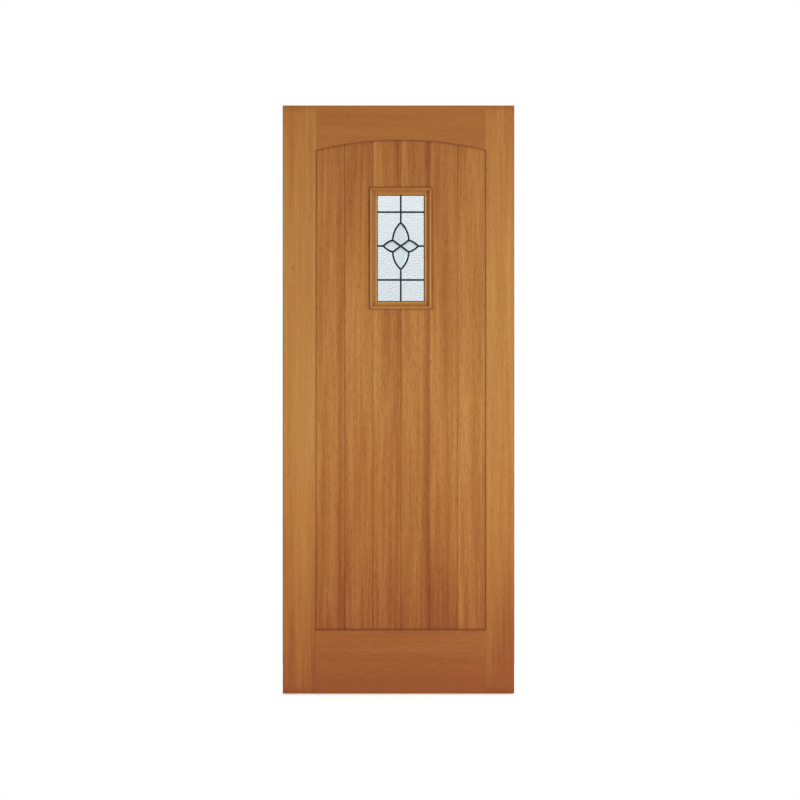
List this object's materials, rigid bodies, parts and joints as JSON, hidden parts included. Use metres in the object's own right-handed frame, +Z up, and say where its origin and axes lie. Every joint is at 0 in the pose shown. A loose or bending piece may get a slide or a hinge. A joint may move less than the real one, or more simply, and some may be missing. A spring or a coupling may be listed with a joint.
{
  "type": "glazed external door",
  "caption": "Framed and boarded external door leaf with an arched top rail, V-jointed boards and a small leaded light with a bevelled flower, framed by bolection mouldings.",
  "frame": {"origin": "on the hanging edge of the leaf, at mid height and mid thickness, where the middle hinge is fixed", "axes": "+X across the leaf from the hanging edge to the lock edge, +Y from the outside face to the inside face, +Z up"},
  "size_m": [0.8009, 0.05, 2.032],
  "materials": {
    "frame_wood": "stained and satin-varnished hardwood, quiet grain along each stile and rail",
    "board_wood": "stained and satin-varnished hardwood boards, upright grain with fine pores",
    "moulding_wood": "stained and satin-varnished hardwood moulding",
    "textured_glass": "obscure glass with a fine pebbled face",
    "clear_glass": "polished clear glass",
    "lead": "blackened lead came, dull",
    "spacer_metal": "mill-finished spacer bar"
  },
  "bodies": {
    "root": {"bevel_left": "clear_glass", "bevel_lower": "clear_glass", "bevel_right": "clear_glass", "bevel_upper": "clear_glass", "board_1": "board_wood", "board_2": "board_wood", "board_3_lower": "board_wood", "board_3_upper": "board_wood", "board_4_lower": "board_wood", "board_4_upper": "board_wood", "board_5": "board_wood", "board_6": "board_wood", "came_lattice": "lead", "moulding_inside_bottom": "moulding_wood", "moulding_inside_left": "moulding_wood", "moulding_inside_right": "moulding_wood", "moulding_inside_top": "moulding_wood", "moulding_outside_bottom": "moulding_wood", "moulding_outside_left": "moulding_wood", "moulding_outside_right": "moulding_wood", "moulding_outside_top": "moulding_wood", "pane_inside": "clear_glass", "quarry_bottom_left": "textured_glass", "quarry_bottom_right": "textured_glass", "quarry_lower_left": "textured_glass", "quarry_lower_right": "textured_glass", "quarry_top_left": "textured_glass", "quarry_top_right": "textured_glass", "quarry_upper_left": "textured_glass", "quarry_upper_right": "textured_glass", "rail_bottom": "frame_wood", "rail_top": "frame_wood", "spacer_frame": "spacer_metal", "stile_hanging": "frame_wood", "stile_lock": "frame_wood"}
  },
  "joints": []
}
